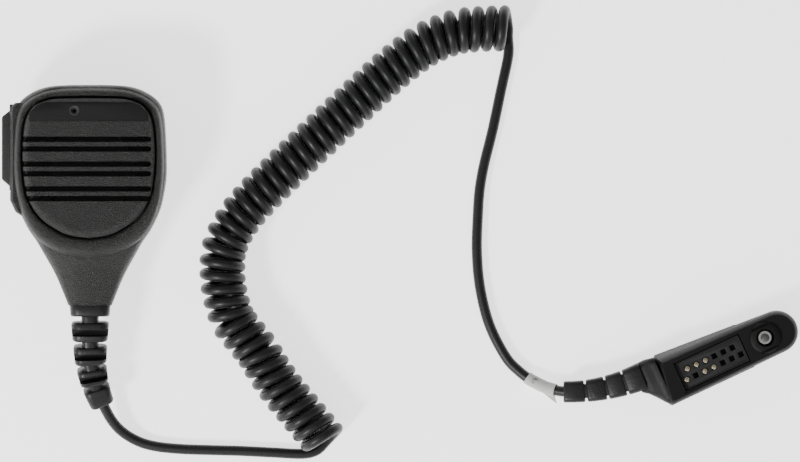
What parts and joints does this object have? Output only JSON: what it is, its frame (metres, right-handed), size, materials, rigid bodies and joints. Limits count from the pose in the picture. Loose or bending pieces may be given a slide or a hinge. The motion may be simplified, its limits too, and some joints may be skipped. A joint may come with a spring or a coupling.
{
  "type": "hand microphone",
  "caption": "Radio speaker microphone with a push-to-talk paddle, slotted grille, rear swivel clip, curly cord and an accessory plug with a captive thumbscrew.",
  "frame": {"origin": "middle of the head's bounding box, on the floor under its rear clip", "axes": "+Y along the head towards its top, +Z out of the grille, +X to the right of the grille"},
  "size_m": [0.2968, 0.1697, 0.0348],
  "materials": {
    "case": "fine grain",
    "panel": "leather grain",
    "window": "satin",
    "insert": "gloss",
    "paddle": "textured",
    "frame": "satin",
    "inner_plastic": "satin",
    "seal": "matte",
    "boot": "satin",
    "cord": "satin",
    "paper": "matte",
    "plug": "gloss",
    "carrier": "satin",
    "gold": "plated",
    "steel": "machined",
    "screw_steel": "zinc plated",
    "board": "solder mask",
    "mesh": "woven",
    "paper_cone": "matte",
    "wire": "gloss"
  },
  "bodies": {
    "handset_and_cord": {"rear_shell": "case", "front_shell": "case", "shell_gasket": "seal", "case_screws": "screw_steel", "grille_panel": "panel", "label_window": "window", "mic_port": "insert", "dust_mesh": "mesh", "speaker_gasket": "seal", "speaker_frame": "steel", "speaker_magnet": "steel", "speaker_cone": "paper_cone", "speaker_wires": "wire", "circuit_board": "board", "board_screws": "screw_steel", "mic_capsule": "steel", "mic_holder": "seal", "ptt_switch": "inner_plastic", "ptt_frame": "frame", "ptt_gasket": "seal", "clip_screw": "screw_steel", "clip_washer": "steel", "head_boot": "boot", "cord_tail": "cord", "cord_clamp": "steel", "clamp_screws": "screw_steel", "cord_wires": "wire", "cord_lead_head": "cord", "cord_coil": "cord", "cord_lead_plug": "cord", "cord_label": "paper", "plug_boot": "boot", "plug_housing": "plug", "plug_cover": "plug", "plug_carrier": "carrier", "plug_contacts": "gold", "plug_board": "board", "plug_gasket": "seal", "plug_tail": "cord", "cover_screws": "screw_steel"},
    "ptt": {"ptt_paddle": "paddle", "ptt_carrier": "inner_plastic", "ptt_plunger": "inner_plastic"},
    "clip_swivel": {"clip_base": "case", "clip_pin": "steel", "clip_spring": "steel"},
    "clip_jaw": {"clip_jaw": "case"},
    "screw_slide": {"screw_ring": "steel"},
    "thumbscrew": {"screw_shaft": "steel", "screw_knob": "plug"}
  },
  "joints": [
    {"name": "ptt_press", "type": "slide", "parent": "handset_and_cord", "child": "ptt", "axis": [1, 0, 0], "range_m": [0, 0.0012], "stiffness_N_per_m": 1500},
    {"name": "clip_turn", "type": "hinge", "parent": "handset_and_cord", "child": "clip_swivel", "pos_m": [0.0019, 0.012, 0.008], "axis": [0, 0, 1], "continuous": true},
    {"name": "clip_open", "type": "hinge", "parent": "clip_swivel", "child": "clip_jaw", "pos_m": [0.0019, 0.02, 0.0039], "axis": [1, 0, 0], "range_deg": [0, 20], "stiffness_Nm_per_rad": 0.3, "springref_deg": -1.15, "deforming": ["clip_spring"]},
    {"name": "screw_float", "type": "slide", "parent": "handset_and_cord", "child": "screw_slide", "axis": [0, 0, 1], "range_m": [0, 0.002]},
    {"name": "screw_turn", "type": "hinge", "parent": "screw_slide", "child": "thumbscrew", "pos_m": [0.2536, -0.0532, 0.004], "axis": [0, 0, 1], "continuous": true}
  ]
}
